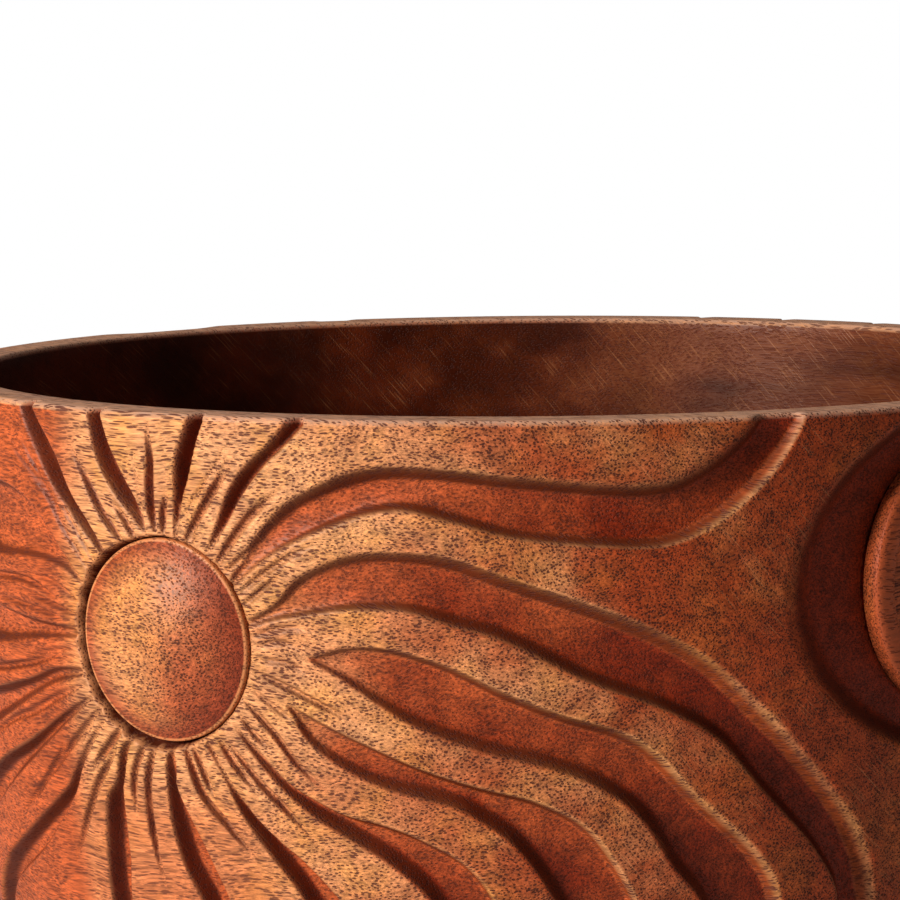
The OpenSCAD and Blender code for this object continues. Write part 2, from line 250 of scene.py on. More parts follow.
def across_line(line, x, y):
    """How far each place lies to the right of the line, its share of the line's length, and how far
    past the line's ends it lies."""
    way = np.gradient(line, axis=0)
    way /= np.linalg.norm(way, axis=1)[:, None]
    nearest = np.zeros(x.size, int)
    best = np.full(x.size, np.inf)
    px, py = x.ravel(), y.ravel()
    for i, (qx, qy) in enumerate(line):
        d = (px - qx) ** 2 + (py - qy) ** 2
        closer = d < best
        best[closer] = d[closer]
        nearest[closer] = i
    dx, dy = px - line[nearest, 0], py - line[nearest, 1]
    wx, wy = way[nearest, 0], way[nearest, 1]
    right = dx * wy - dy * wx
    along = dx * wx + dy * wy
    share = nearest / (len(line) - 1)
    past = np.where(nearest == 0, -along, np.where(nearest == len(line) - 1, along, 0))
    return right.reshape(x.shape), share.reshape(x.shape), np.maximum(past, 0).reshape(x.shape)


def window(line, reach, xs, ys):
    """The slices of the grid that a line may touch."""
    x0, x1 = np.searchsorted(xs, [line[:, 0].min() - reach, line[:, 0].max() + reach])
    y0, y1 = np.searchsorted(ys, [line[:, 1].min() - reach, line[:, 1].max() + reach])
    return slice(y0, y1), slice(x0, x1)


def cut_channel(depth, xs, ys, left, right, deep, left_wall, right_wall, shift):
    """A smooth-floored channel between two edges, narrow and shallow at the sun."""
    left, right = (smooth_line(line) + (shift, 0) for line in (left, right))
    rows, cols = window(np.vstack([left, right]), 1.0, xs, ys)
    if cols.start == cols.stop:
        return
    x, y = np.meshgrid(xs[cols], ys[rows])
    a, share, past_a = across_line(left, x, y)
    b, _, past_b = across_line(right, x, y)
    b = -b
    size = np.minimum(1, 0.30 + 2.6 * share) * np.minimum(1, 0.35 + 5.0 * (1 - share))
    # the left wall begins with a crisp arris and is rounded over further out
    worn = smoothstep(0.40, 0.72, share)
    down_left = np.clip(a / (left_wall * size * (1 + 0.25 * worn)), 0, 1) ** (0.9 + 0.9 * worn)
    down_right = 1 - (1 - np.clip(b / (right_wall * size), 0, 1)) ** 1.7
    q = a / np.maximum(a + b, 0.01)
    floor = 0.84 + 0.16 * np.sin(math.pi * np.clip(q, 0, 1))
    inside = (a > 0) & (b > 0) & (a + b < WIDEST_CHANNEL)
    ends = 1 - smoothstep(0, 1.5, np.maximum(past_a, past_b))
    cut = np.where(inside, deep * size * floor * np.minimum(down_left, down_right) * ends, 0)
    depth[rows, cols] = np.maximum(depth[rows, cols], cut)


def cut_knife(depth, xs, ys, points, width, deep, shift):
    """A thin V-shaped cut that fades out at both ends."""
    line = smooth_line(points) + (shift, 0)
    rows, cols = window(line, width, xs, ys)
    if cols.start == cols.stop:
        return
    x, y = np.meshgrid(xs[cols], ys[rows])
    right, share, past = across_line(line, x, y)
    size = np.minimum(1, 0.55 + 2.5 * share) * np.minimum(1, 0.10 + 2.2 * (1 - share))
    q = np.abs(right) / (width * size / 2)
    cut = np.clip(1 - q ** 1.3, 0, 1) * deep * size * (1 - smoothstep(0, 0.8, past))
    depth[rows, cols] = np.maximum(depth[rows, cols], cut)


def cut_moat(depth, xs, ys):
    """The moat round a medallion, and the medallion's seat."""
    x, y = np.meshgrid(xs - MEDALLION_AT[0], ys - MEDALLION_AT[1])
    r = np.hypot(x, y)
    # the moat runs out to a blunt point on either side of the disc
    a = np.arctan2(y, np.abs(x))
    wide = MOAT_W * (1.5 - 0.75 * smoothstep(0.0, 1.15, np.abs(a + 0.04)))
    q = (r - MEDALLION_R - SEAT_GAP) / wide
    slope = 0.945 * 0.5 * (1 + np.cos(math.pi * np.clip((q - 0.55) / 0.45, 0, 1)))
    cut = np.where(q < 0.55, 1.0 - 0.1 * q, slope) * MOAT_DEPTH * (q > 0)
    depth[:] = np.maximum(depth, cut)
    seat = r < MEDALLION_R + SEAT_GAP
    depth[seat] = MEDALLION_SUNK + MEDALLION_EDGE_T


def cut_sun_seat(depth, xs, ys):
    """The seat of a sun disc with the cut round it. Gives where that cut is wide, which gets the darkest
    painted shade.
    """
    x, y = np.meshgrid(xs - SUN_ALONG, ys)
    r = np.hypot(x, y)
    a = np.arctan2(y, x)
    # the cut round the disc is wide on the left and below, and its outer side is scalloped
    open_side = smoothstep(-0.15, 0.75, np.cos(a - math.radians(200)))
    gap = 0.45 + 1.75 * open_side + 0.55 * open_side * np.sin(13 * a) ** 2
    q = (r - SUN_R) / gap
    cut = (2.4 + 2.0 * open_side) * (1 - smoothstep(0.72, 1.0, q))
    depth[:] = np.maximum(depth, cut)
    depth[r < SUN_R + SEAT_GAP] = SUN_SUNK + SUN_EDGE_T
    return (q < 1.05) & (open_side > 0)


def value_noise(x, y, cell, seed, period):
    """Smooth noise from -1 to 1 over places x, y, which repeats along x after a period."""
    rng = np.random.default_rng(seed)
    n = max(2, int(round(period / cell)))
    rows = int((y.max() - y.min()) / cell) + 3
    table = rng.uniform(-1, 1, (rows, n))
    u, v = (x - x.min()) / period * n, (y - y.min()) / cell
    i, j = np.floor(u).astype(int), np.floor(v).astype(int)
    fu, fv = u - i, v - j
    fu, fv = fu * fu * (3 - 2 * fu), fv * fv * (3 - 2 * fv)
    i0, i1 = i % n, (i + 1) % n
    low = table[j, i0] * (1 - fu) + table[j, i1] * fu
    high = table[j + 1, i0] * (1 - fu) + table[j + 1, i1] * fu
    return low * (1 - fv) + high * fv


def blurred(a, steps):
    """a with its rows and columns averaged over steps neighbours, wrapping along the columns."""
    out = a.copy()
    for axis in (0, 1):
        total = out.copy()
        for k in range(1, steps + 1):
            for s in (-k, k):
                moved = np.roll(out, s, axis)
                if axis == 0:
                    edge = slice(0, s) if s > 0 else slice(s, None)
                    moved[edge] = out[edge]
                total += moved
        out = total / (2 * steps + 1)
    return out


def grid_lines():
    """The carved wall's grid: places along one half round, and up the wall, finer round the sun."""
    fine, coarse = ((0.42, 0.80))
    x_fine = np.arange(FINE_FROM, FINE_TO, fine)
    rest = HALF_ROUND - FINE_TO + FINE_FROM
    n = int(rest / coarse)
    # a half round has a count that divides by eight, because the whole rings are halved four times
    n += (-(n + len(x_fine))) % 8
    x_rest = FINE_TO + rest * np.arange(n) / n
    top = SUN_BELOW_RIM - RIM_ROUND
    bottom = SUN_BELOW_RIM - WALL_LEN
    ys = np.concatenate([np.arange(top, CARVED_DOWN_TO, -fine), np.linspace(CARVED_DOWN_TO, bottom, 30)])
    return np.concatenate([x_fine, x_rest]), ys[::-1]


def wall_at(bearing, depth):
    """Points and outward normals on the uncut wall, for bearings and depths down from the rim."""
    angle = np.where(depth < BAND_H, 0, np.where(
        depth < BAND_H + SWEEP_LEN, (depth - BAND_H) / SWEEP_R,
        SWEEP_END + (depth - BAND_H - SWEEP_LEN) / CORNER_R))
    in_corner = depth >= BAND_H + SWEEP_LEN
    r = np.where(in_corner, CORNER_X + CORNER_R * np.cos(angle), RIM_R - SWEEP_R * (1 - np.cos(angle)))
    z = np.where(depth < BAND_H, BOWL_H - depth, np.where(
        in_corner, CORNER_Z - CORNER_R * np.sin(angle), BAND_Z - SWEEP_R * np.sin(angle)))
    s, c = np.sin(bearing), -np.cos(bearing)
    point = np.stack([s * r, c * r, z + 0 * bearing], -1)
    normal = np.stack([s * np.cos(angle), c * np.cos(angle), -np.sin(angle) + 0 * bearing], -1)
    return point, normal


def carved_wall():
    """The carved wall's rings from the foot up, as rows of points, with the bearings of a row. Each
    point has how deep it is cut, how much of an arris it is for a painted highlight, and how steep its wall
    is for its painted shade."""
    xs, ys = grid_lines()
    depth = np.zeros((len(ys), len(xs)))
    # what starts left of this half's grid belongs to the next sun's left side
    for shift in (0, HALF_ROUND):
        for left, right, deep, left_wall, right_wall in CHANNELS:
            cut_channel(depth, xs, ys, left, right, deep, left_wall, right_wall, shift)
        for points, width, deep in KNIFE_CUTS:
            cut_knife(depth, xs, ys, points, width, deep, shift)
    cut_moat(depth, xs, ys)
    crevice = cut_sun_seat(depth, xs, ys)
    crevice = np.hstack([crevice, crevice])
    depth = np.hstack([depth, depth])
    # the knife leaves its arrises a little soft
    depth = 0.76 * depth + 0.12 * (np.roll(depth, 1, 1) + np.roll(depth, -1, 1))
    depth[1:-1] = 0.76 * depth[1:-1] + 0.12 * (depth[2:] + depth[:-2])
    xs = np.concatenate([xs, xs + HALF_ROUND])
    x, y = np.meshgrid(xs, ys)
    round_mm = 2 * HALF_ROUND
    waves = 0.14 * value_noise(x, y, 9, 3, round_mm) + 0.06 * value_noise(x, y, 3.5, 5, round_mm)
    seats = np.zeros_like(depth, bool)
    for shift in (0, HALF_ROUND):
        for at, r in (((SUN_ALONG, 0), SUN_R), (MEDALLION_AT, MEDALLION_R)):
            seats |= np.hypot(x - at[0] - shift, y - at[1]) < r + SEAT_GAP
    shape = depth + np.where(seats, 0, waves)
    bearing = math.radians(SUN_BEARING) + x / RIM_R
    point, normal = wall_at(bearing, SUN_BELOW_RIM - y)
    rings = point - normal * shape[..., None]
    # edge: how much of an arris a point is, for a painted highlight along the edges of the cuts
    edge = np.clip(blurred(depth, 2) - depth, 0, 1)
    slope_x, slope_y = np.gradient(depth, xs, axis=1), np.gradient(depth, ys, axis=0)
    slope = np.hypot(slope_x, slope_y)
    # painted light: walls that face left, toward the sun's side of the bowl and the key light, get less
    # painted shade and less painted highlight on their arrises
    faces_key_light = smoothstep(0.2, 0.9, -slope_x / np.maximum(slope, 0.05))
    edge = edge * (1 - 0.7 * faces_key_light)
    steep = smoothstep(0.40, 1.0, slope) * (1 - 0.6 * faces_key_light)
    # the wide cut round a sun disc gets the strongest painted shade
    steep = np.where(crevice, 1.25, steep)
    # the left side of a sun is worked all over, and so is the wall below it
    beside = (x % HALF_ROUND) - HALF_ROUND
    worked = 2.0 * smoothstep(-14, -34, beside) * smoothstep(-190, -150, beside)
    near = (x + 60) % HALF_ROUND - 60
    below = 1.2 * smoothstep(-16, -36, y) * smoothstep(42, 10, near) * smoothstep(-60, -30, near)
    worked = np.maximum(worked, below)
    return bearing[0], rings, np.maximum(depth, worked), edge, steep, depth[-1]


def ring_points(bearings, r, z):
    """A ring of points at a height z. r is one radius or one for each bearing."""
    s, c = np.sin(bearings), -np.cos(bearings)
    return np.stack([s * r, c * r, np.full_like(bearings, z)], -1)


class ShellMesh:
    """Rings of points joined into one closed skin. A ring may have half or twice the points of the
    one before."""

    def __init__(self):
        self.points, self.faces, self.count = [], [], 0
        self.looks = {"cut": [], "edge": [], "inside": [], "steep": []}

    def ring(self, points, **looks):
        """Adds a ring and gives its points' numbers. looks holds values of the looks other than 0."""
        n = len(points)
        self.points.append(points)
        for key, values in self.looks.items():
            values.append(np.broadcast_to(looks.get(key, 0.0), n))
        self.count += n
        return np.arange(self.count - n, self.count)

    def join(self, low, high):
        """Faces between two rings, with high further along the skin."""
        if len(low) == len(high):
            a, b = low, np.roll(low, -1)
            c, d = np.roll(high, -1), high
            self.faces.append(np.stack([a, b, c, d], 1))
            return
        many, few = (low, high) if len(low) > len(high) else (high, low)
        m0, m1, m2 = many[0::2], many[1::2], np.roll(many[0::2], -1)
        f0, f1 = few, np.roll(few, -1)
        tris = [np.stack(t, 1) for t in ((m0, m1, f0), (m1, f1, f0), (m1, m2, f1))]
        if many is high:
            tris = [t[:, ::-1] for t in tris]
        self.faces += tris

    def cap(self, ring, centre, up):
        middle = self.ring(np.array([centre]))[0]
        a, b = ring, np.roll(ring, -1)
        tri = np.stack([a, b, np.full_like(a, middle)], 1)
        self.faces.append(tri if up else tri[:, ::-1])

    def build(self, name):
        points = np.vstack(self.points) * MM
        mesh = bpy.data.meshes.new(name)
        loops = np.concatenate([f.ravel() for f in self.faces])
        sizes = np.concatenate([np.full(len(f), f.shape[1]) for f in self.faces])
        starts = np.concatenate([[0], np.cumsum(sizes)[:-1]])
        mesh.vertices.add(len(points))
        mesh.vertices.foreach_set("co", points.ravel().astype(np.float32))
        mesh.loops.add(len(loops))
        mesh.loops.foreach_set("vertex_index", loops.astype(np.int32))
        mesh.polygons.add(len(sizes))
        mesh.polygons.foreach_set("loop_start", starts.astype(np.int32))
        mesh.polygons.foreach_set("loop_total", sizes.astype(np.int32))
        mesh.polygons.foreach_set("use_smooth", np.ones(len(sizes), bool))
        mesh.update(calc_edges=True)
        mesh.validate()
        for key, values in self.looks.items():
            layer = mesh.attributes.new(key, "FLOAT", "POINT")
            layer.data.foreach_set("value", np.concatenate(values).astype(np.float32))
        ob = bpy.data.objects.new(name, mesh)
        bpy.context.collection.objects.link(ob)
        return ob


def inner_profile():
    """Radius and height of the smooth inside, from the rim down to the floor."""
    steps = [(INNER_R + RIM_ROUND * (1 - math.sin(a)), BOWL_H - RIM_ROUND * (1 - math.cos(a)))
             for a in np.radians([22, 45, 68, 90])]
    steps += [(INNER_R, z) for z in np.linspace(BOWL_H - RIM_ROUND, BAND_Z, 12)[1:]]
    steps += [(INNER_R - INNER_SWEEP_R * (1 - math.cos(a)), BAND_Z - INNER_SWEEP_R * math.sin(a))
              for a in np.linspace(0, INNER_SWEEP_END, 26)[1:]]
    steps += [(INNER_CORNER_X + INNER_CORNER_R * math.cos(a), INNER_CORNER_Z - INNER_CORNER_R * math.sin(a))
              for a in np.linspace(INNER_SWEEP_END, math.pi / 2, 34)[1:]]
    steps += [(r, FLOOR_Z) for r in np.linspace(INNER_CORNER_X, 2.0, 30)[1:]]
    return steps


def foot_outline():
    """Radius and height of the underside, from the middle out to the foot's outer side, and how many
    of the wall's points are left out of each ring."""
    steps = [(r, HOLLOW_Z, 8) for r in np.linspace(2.0, FOOT_INNER_R, 16)]
    steps += [(FOOT_INNER_R, BELLY_Z + 0.6, 8), (FOOT_INNER_R + 0.6, PAD_T, 8), (FOOT_R - 9, PAD_T, 4),
              (FOOT_R - 0.8, PAD_T, 2), (FOOT_R - 0.2, PAD_T + 0.3, 2), (FOOT_R, PAD_T + 0.9, 2),
              (FOOT_R, BELLY_Z - 0.4, 1)]
    return steps


def carved_bowl():
    """The carved block as one closed skin, from the middle of its underside round to its floor."""
    bearings, wall, cut, edge, steep, top_cut = carved_wall()
    shell = ShellMesh()
    rings = [(ring_points(bearings[::thin], r, z), {}) for r, z, thin in foot_outline()]
    for row, points in enumerate(wall):
        rings.append((points, {"cut": cut[row], "edge": edge[row], "steep": steep[row]}))
    # the rim, following how far the carving has cut its outer edge back
    for a in np.radians([22, 45, 68, 90]):
        r = RIM_R - RIM_ROUND * (1 - math.cos(a)) - top_cut
        z = BOWL_H - RIM_ROUND * (1 - math.sin(a))
        rings.append((ring_points(bearings, r, z), {"cut": top_cut * 0.3}))
    outer = RIM_R - RIM_ROUND - top_cut
    for share in (0.25, 0.5, 0.75, 1.0):
        r = outer + (INNER_R + RIM_ROUND - outer) * share
        rings.append((ring_points(bearings, r, BOWL_H), {}))
    # the inside, with fewer points to a ring as it goes down
    for i, (r, z) in enumerate(inner_profile()):
        thin = 1 if i < 1 else 2 if i < 6 else 4 if i < 60 else 8 if i < 90 else 16
        rings.append((ring_points(bearings[::thin], r, z), {"inside": 1.0 if i > 2 else 0.3}))
    last = shell.ring(rings[0][0])
    shell.cap(last, (0, 0, HOLLOW_Z), up=False)
    for points, looks in rings[1:]:
        ring = shell.ring(points, **looks)
        shell.join(ring, last)
        last = ring
    shell.cap(last, (0, 0, FLOOR_Z), up=True)
    return shell.build("carved_bowl")


bowl = carved_bowl()
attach(bowl, "root")
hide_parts("bowl_body")


# ---------------------------------------------------------------- discs and pads
def wall_frame(bearing_mm, up_mm, half_turn):
    """The frame at a place of the wall: x to the right, y up the wall, z outward."""
    bearing = math.radians(SUN_BEARING + half_turn) + bearing_mm / RIM_R
    depth = SUN_BELOW_RIM - up_mm
    point, normal = wall_at(np.array([bearing]), np.array([depth]))
    z = Vector(normal[0])
    x = Vector((math.cos(bearing), math.sin(bearing), 0))
    y = z.cross(x).normalized()
    m = Matrix.Identity(4)
    m.col[0].xyz, m.col[1].xyz, m.col[2].xyz = x, y, z
    m.translation = Vector(point[0]) * MM
    return m


def turned(name, outline, steps, place, wobble, seed):
    """A turned solid from its half section, from the middle of its face out and round to its back.

    The section's points are (radius, height, share), where share is how much the hand's work may
    stray from true by wobble."""
    rng = np.random.default_rng(seed)
    angles = np.arange(steps) * 2 * math.pi / steps
    phases = rng.uniform(0, 2 * math.pi, 6)
    stray = sum(np.cos(k * angles + phases[k]) / k for k in (2, 3, 5)) * wobble
    shell = ShellMesh()
    last = None
    for r, z, face in outline[1:]:
        points = np.stack([np.cos(angles) * (r + stray * face), np.sin(angles) * (r + stray * face),
                           np.full(steps, z) + 0.4 * stray * face], -1)
        # the outer arris of a disc's face gets a painted highlight
        ring = shell.ring(points, cut=2.0 * face ** 2.0, edge=0.9 * (face > 0.97))
        if last is None:
            shell.cap(ring, (0, 0, outline[0][1]), up=True)
        else:
            shell.join(ring, last)
        last = ring
    shell.cap(last, (0, 0, outline[-1][1]), up=False)
    ob = shell.build(name)
    ob.data.transform(place)
    return ob


def sun_outline():
    """A sun disc: a dome with a small arris at its edge."""
    dome_r = (SUN_R ** 2 + SUN_DOME_H ** 2) / (2 * SUN_DOME_H)
    crown = SUN_DOME_H - SUN_SUNK
    back_z = -SUN_SUNK - SUN_EDGE_T
    out = []
    for r in np.concatenate([[0], np.linspace(0.4, SUN_R - 0.5, 70)]):
        out.append((r, crown - dome_r + math.sqrt(dome_r ** 2 - r ** 2), min(1, r / SUN_R)))
    edge_z = out[-1][1]
    out += [(SUN_R - 0.3, edge_z - 0.02, 1), (SUN_R - 0.1, edge_z - 0.15, 1), (SUN_R, edge_z - 0.5, 1),
            (SUN_R, back_z + 0.2, 0), (SUN_R - 0.2, back_z, 0), (PEG_R, back_z, 0),
            (PEG_R, back_z - PEG_L, 0)]
    return out


def medallion_outline():
    """A medallion: a dish with a button in its middle and a round-topped ring at its edge."""
    crest_r = RING_W / 2
    crest_x = MEDALLION_R - crest_r
    dish_z = -MEDALLION_SUNK - RING_H
    back_z = -MEDALLION_SUNK - MEDALLION_EDGE_T
    rise = RING_H * 0.7
    out = [(0, dish_z + rise, 0)]
    out += [(BUTTON_R * math.sin(a), dish_z + rise * math.cos(a), 0.3)
            for a in np.linspace(0.04, math.pi / 2, 34)]
    out += [(r, dish_z + 0.02, 0.5) for r in np.linspace(BUTTON_R + 0.3, crest_x - crest_r - 2, 14)]
    out += [(crest_x - crest_r - 1.1, dish_z + 0.15, 1), (crest_x - crest_r - 0.5, dish_z + 0.5, 1),
            (crest_x - crest_r - 0.15, dish_z + 1.1, 1)]
    out += [(crest_x - crest_r * math.cos(a), -MEDALLION_SUNK - 1 + math.sin(a), 1)
            for a in np.linspace(0.1, math.pi, 26)]
    out += [(MEDALLION_R, -MEDALLION_SUNK - 2, 0), (MEDALLION_R, back_z, 0), (PEG_R, back_z, 0),
            (PEG_R, back_z - PEG_L, 0)]
    return out


discs = {}
for node, half_turn in (("sun_disc_front", 0), ("sun_disc_back", 180)):
    disc = turned(node.replace("sun_disc", "sun_boss"), sun_outline(), 220,
                  wall_frame(SUN_ALONG, 0, half_turn), 0.06, 11 + half_turn)
    discs[node] = disc
    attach(disc, "root")
    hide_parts(node)
for node, half_turn in (("medallion_right", 0), ("medallion_left", 180)):
    disc = turned(node + "_disc", medallion_outline(), 240,
                  wall_frame(MEDALLION_AT[0], MEDALLION_AT[1], half_turn), 0.10, 21 + half_turn)
    discs[node] = disc
    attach(disc, "root")
    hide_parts(node)


# ---------------------------------------------------------------- materials
class Nodes:
    """Short calls to make shader nodes."""

    def __init__(self, name):
        self.material = bpy.data.materials.new(name)
        self.material.use_nodes = True
        self.tree = self.material.node_tree
        self.surface = self.tree.nodes["Principled BSDF"]

    def node(self, kind, settings=None, **inputs):
        n = self.tree.nodes.new(kind)
        for key, value in (settings or {}).items():
            setattr(n, key, value)
        for key, value in inputs.items():
            self.put(n.inputs[key.replace("_", " ")], value)
        return n

    def put(self, socket, value):
        if isinstance(value, bpy.types.NodeSocket):
            self.tree.links.new(value, socket)
        else:
            socket.default_value = value

    def math(self, operation, a, b=0.0, c=0.0, clamp=False):
        n = self.tree.nodes.new("ShaderNodeMath")
        n.operation, n.use_clamp = operation, clamp
        for socket, value in zip(n.inputs, (a, b, c)):
            self.put(socket, value)
        return n.outputs[0]

    def range(self, value, low, high, to_low=0.0, to_high=1.0, smooth=False):
        n = self.node("ShaderNodeMapRange", {"interpolation_type": "SMOOTHSTEP" if smooth else "LINEAR"},
                      Value=value, From_Min=low, From_Max=high, To_Min=to_low, To_Max=to_high)
        return n.outputs["Result"]

    def mix(self, share, a, b, blend="MIX"):
        n = self.tree.nodes.new("ShaderNodeMix")
        n.data_type, n.blend_type = "RGBA", blend
        self.put(n.inputs["Factor"], share)
        for socket, value in ((n.inputs[6], a), (n.inputs[7], b)):
            self.put(socket, (*value, 1) if isinstance(value, tuple) and len(value) == 3 else value)
        return n.outputs[2]

    def noise(self, place, scale, detail=2.0, roughness=0.5):
        n = self.node("ShaderNodeTexNoise", Vector=place, Scale=scale, Detail=detail, Roughness=roughness)
        return n.outputs["Fac"]

    def dot(self, vector, direction):
        n = self.node("ShaderNodeVectorMath", {"operation": "DOT_PRODUCT"})
        self.put(n.inputs[0], vector)
        n.inputs[1].default_value = direction
        return n.outputs["Value"]

    def scaled(self, colour, factor):
        n = self.node("ShaderNodeVectorMath", {"operation": "SCALE"}, Scale=factor)
        self.put(n.inputs[0], colour)
        return n.outputs[0]

    @staticmethod
    def blend_of(a, b, share):
        return tuple(p + (q - p) * share for p, q in zip(a, b))

    def combine(self, x, y, z):
        return self.node("ShaderNodeCombineXYZ", X=x, Y=y, Z=z).outputs[0]

    def attribute(self, name):
        return self.node("ShaderNodeAttribute", {"attribute_name": name}).outputs["Fac"]

    def done(self, **inputs):
        for key, value in inputs.items():
            self.put(self.surface.inputs[key.replace("_", " ")], value)
        return self.material


def wood(name, grain, flat, end, cut_flat, cut_end, shift=0.0, gloss=0.46):
    """Open-pored hardwood with its fibres along grain.

    flat and end are its colours along the fibres and across their ends, and cut_flat and cut_end are
    the same where it is carved deeper."""
    m = Nodes(name)
    coords = m.node("ShaderNodeTexCoord")
    place = coords.outputs["Object"]
    side = Vector(grain).cross(Vector((0, 0, 1))).normalized()
    u = m.math("ADD", m.dot(place, grain), shift)
    v = m.dot(place, side)
    along_xyz = m.node("ShaderNodeSeparateXYZ", Vector=place)
    up = along_xyz.outputs["Z"]
    # the fibres wander a little
    sway = m.node("ShaderNodeTexNoise", Vector=m.combine(m.math("MULTIPLY", u, 0.8), v, up),
                  Scale=85.0, Detail=1.0, Roughness=0.5).outputs["Color"]
    sway = m.node("ShaderNodeSeparateXYZ", Vector=sway)
    v1 = m.math("MULTIPLY_ADD", sway.outputs["X"], 0.0030, v)
    w1 = m.math("MULTIPLY_ADD", sway.outputs["Y"], 0.0030, up)

    def fibres(along, across, detail, roughness):
        return m.noise(m.combine(m.math("MULTIPLY", u, along), m.math("MULTIPLY", v1, across),
                                 m.math("MULTIPLY", w1, across)), 1.0, detail, roughness)

    bands = m.range(fibres(7.0, 45.0, 3.0, 0.6), 0.34, 0.66, smooth=True)
    streak = fibres(24.0, 380.0, 3.0, 0.6)
    fibre = fibres(130.0, 2400.0, 3.0, 0.7)
    # the pores: long and thin, cut through by the surface
    cells = m.node("ShaderNodeTexVoronoi", {"voronoi_dimensions": "3D"},
                   Vector=m.combine(m.math("MULTIPLY", u, 110.0), m.math("MULTIPLY", v1, 1180.0),
                                    m.math("MULTIPLY", w1, 1180.0)),
                   Scale=1.9, Randomness=0.95)
    size = m.range(streak, 0.30, 0.70, 0.33, 0.50)
    pore = m.range(m.math("SUBTRACT", size, cells.outputs["Distance"]), 0.0, 0.14, smooth=True)
    # the end grain drinks more oil, so it is redder and darker
    facing = m.math("ABSOLUTE", m.dot(coords.outputs["Normal"], grain))
    ends = m.range(m.math("MULTIPLY_ADD", bands, 0.22, facing), 0.46, 0.98, smooth=True)
    carved = m.range(m.attribute("cut"), 0.3, 2.0, smooth=True)
    base = m.mix(ends, m.mix(m.math("MULTIPLY", bands, 0.55), flat, m.blend_of(flat, cut_flat, 0.8)), end)
    deep = m.mix(ends, cut_flat, cut_end)
    golden = m.range(m.noise(place, 75.0, 3.0, 0.6), 0.42, 0.70, 0.0, 0.55, smooth=True)
    golden = m.math("MULTIPLY", golden, m.math("SUBTRACT", 1.0, m.math("MULTIPLY", ends, 0.75)))
    base = m.mix(golden, base, (0.60, 0.25, 0.050))
    colour = m.mix(carved, base, deep)
    colour = m.scaled(colour, m.range(streak, 0.32, 0.68, 1.26, 0.76))
    furrow = m.math("MULTIPLY", m.math("SUBTRACT", m.range(fibre, 0.32, 0.68, 1.75, 0.42), 1.0),
                    m.range(m.attribute("steep"), 0.0, 1.0, 1.0, 0.35))
    colour = m.scaled(colour, m.math("ADD", furrow, 1.0))
    # painted shade: steep walls of the cuts are painted dark, as they lie in shadow
    wall_shade_colour = m.mix(ends, (0.085, 0.016, 0.006), (0.105, 0.016, 0.005))
    colour = m.mix(m.math("MULTIPLY", m.attribute("steep"), 0.80), colour, wall_shade_colour)
    # paler arrises are a painted highlight, partly wear, and the inside is darker and redder with painted
    # shade
    arris_highlight_colour = tuple(min(1, 1.5 * c) for c in flat)
    colour = m.mix(m.range(m.attribute("edge"), 0.22, 0.9, 0.0, 0.5), colour, arris_highlight_colour)
    # painted shade: the inside of the bowl is made darker and redder
    inside = m.attribute("inside")
    inside_shade_colour = m.mix(0.8, colour, m.blend_of(end, cut_end, 0.5))
    colour = m.mix(inside, colour, m.scaled(inside_shade_colour, m.range(bands, 0.0, 1.0, 0.60, 0.20)))
    # painted light: the flat top of the rim is painted paler and pinker, as it is lit from above, and is a
    # little furry
    top = m.range(up, (BOWL_H - RIM_ROUND) * MM, (BOWL_H - 0.2) * MM)
    top = m.math("MULTIPLY", top, m.range(fibre, 0.35, 0.6, 0.45, 0.95))
    colour = m.mix(top, colour, (0.60, 0.34, 0.23))
    pore_colour = m.mix(ends, (0.105, 0.024, 0.016), (0.055, 0.010, 0.005))
    strength = m.math("MULTIPLY", m.range(carved, 0.0, 1.0, 0.90, 0.55),
                      m.range(inside, 0.0, 1.0, 1.0, 0.5))
    colour = m.mix(m.math("MULTIPLY", pore, strength), colour, pore_colour)
    # faint sanding marks on what the gouge has left
    right = along_xyz.outputs["X"]
    level = m.math("MULTIPLY_ADD", up, 0.64, m.math("MULTIPLY", right, 0.77))
    fall = m.math("MULTIPLY_ADD", up, -0.77, m.math("MULTIPLY", right, 0.64))
    marks = m.noise(m.combine(m.math("MULTIPLY", level, 3400.0), m.math("MULTIPLY", fall, 110.0), 0.0),
                    1.0, 1.0, 0.5)
    marks = m.math("MULTIPLY", m.range(marks, 0.60, 0.74), m.math("SUBTRACT", 1.0, carved))
    marks = m.math("MULTIPLY", marks, m.range(bands, 0.2, 0.8, 0.6, 0.1))
    colour = m.mix(m.math("MULTIPLY", marks, 0.4), colour, tuple(min(1, 1.45 * c) for c in flat))
    hollow = m.math("ADD", pore, m.math("MULTIPLY", marks, 0.3))
    height = m.math("SUBTRACT", m.math("MULTIPLY", fibre, 0.45), hollow)
    bump = m.node("ShaderNodeBump", Strength=0.65, Distance=0.00018, Height=height).outputs["Normal"]
    rough = m.math("MULTIPLY_ADD", pore, 0.25, m.range(fibre, 0.3, 0.7, gloss + 0.06, gloss - 0.06))
    rough = m.math("MULTIPLY_ADD", inside, -0.08, rough)
    return m.done(Base_Color=colour, Roughness=rough, Normal=bump, Specular_IOR_Level=0.22)


